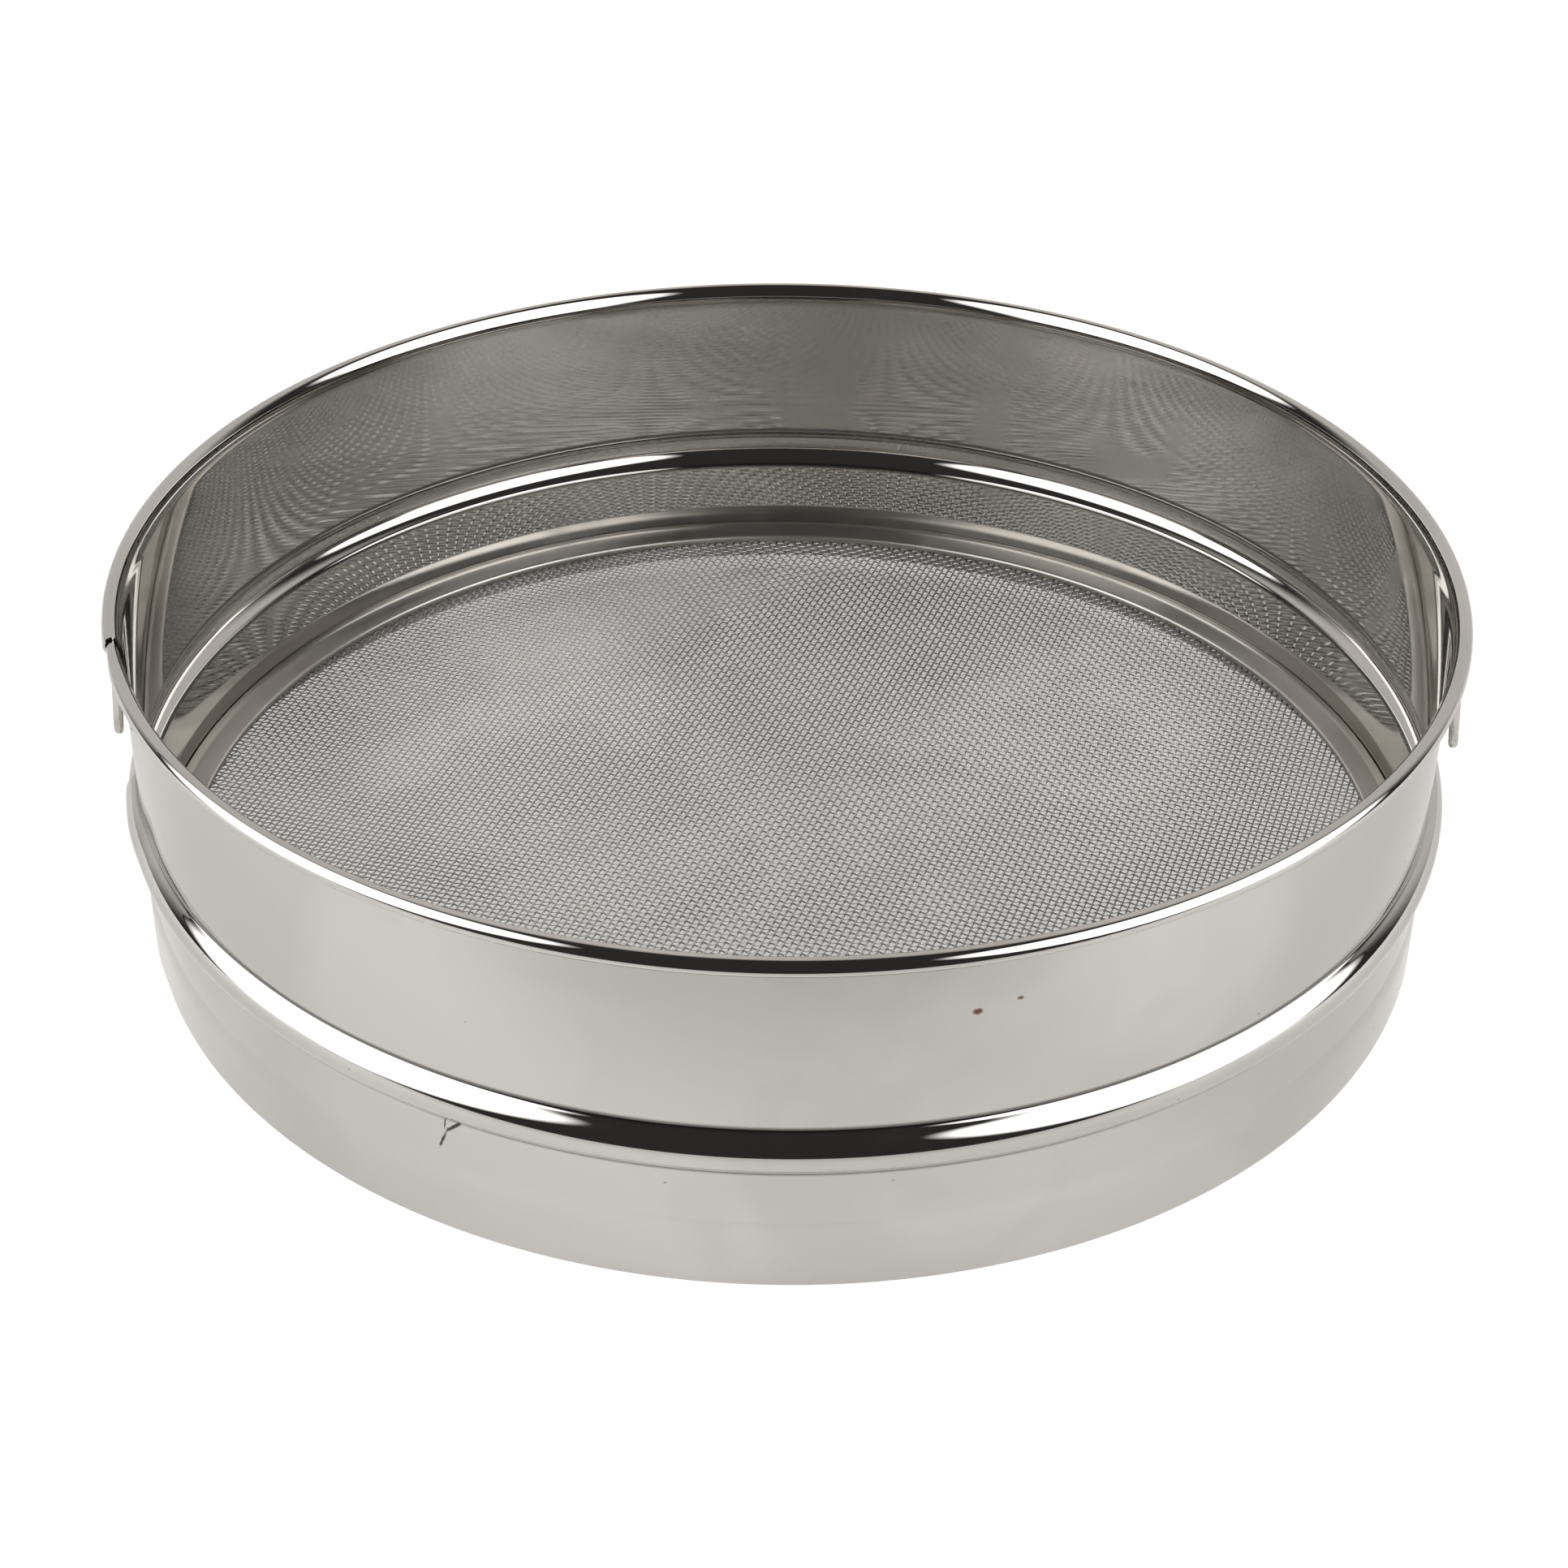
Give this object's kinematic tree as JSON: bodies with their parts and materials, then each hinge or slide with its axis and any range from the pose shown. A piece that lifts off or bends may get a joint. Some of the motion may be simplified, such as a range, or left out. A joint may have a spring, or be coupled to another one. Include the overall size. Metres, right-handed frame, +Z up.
{
  "type": "drum sieve",
  "caption": "Round drum-shaped mesh strainer of polished steel: rolled hoop with curled rim and raised bead, a flat woven screen low inside it, and wire hanging loops.",
  "frame": {"origin": "centre of the hoop at its bottom edge, where the sieve stands on a table", "axes": "+Z up along the hoop's axis, out of its open top; -Y towards the front of the picture, +X to its right"},
  "size_m": [0.3, 0.3, 0.081],
  "materials": {
    "hoop": "polished stainless sheet with fine rolling lines, a few smudges and specks",
    "binding_ring": "rolled stainless sheet, satin to polished",
    "screen": "plain square weave of drawn stainless wire",
    "loop": "drawn stainless wire"
  },
  "bodies": {
    "root": {"hoop": "hoop", "binding_ring": "binding_ring", "screen": "screen", "hanging_loop_left": "loop", "hanging_loop_right": "loop"}
  },
  "joints": []
}
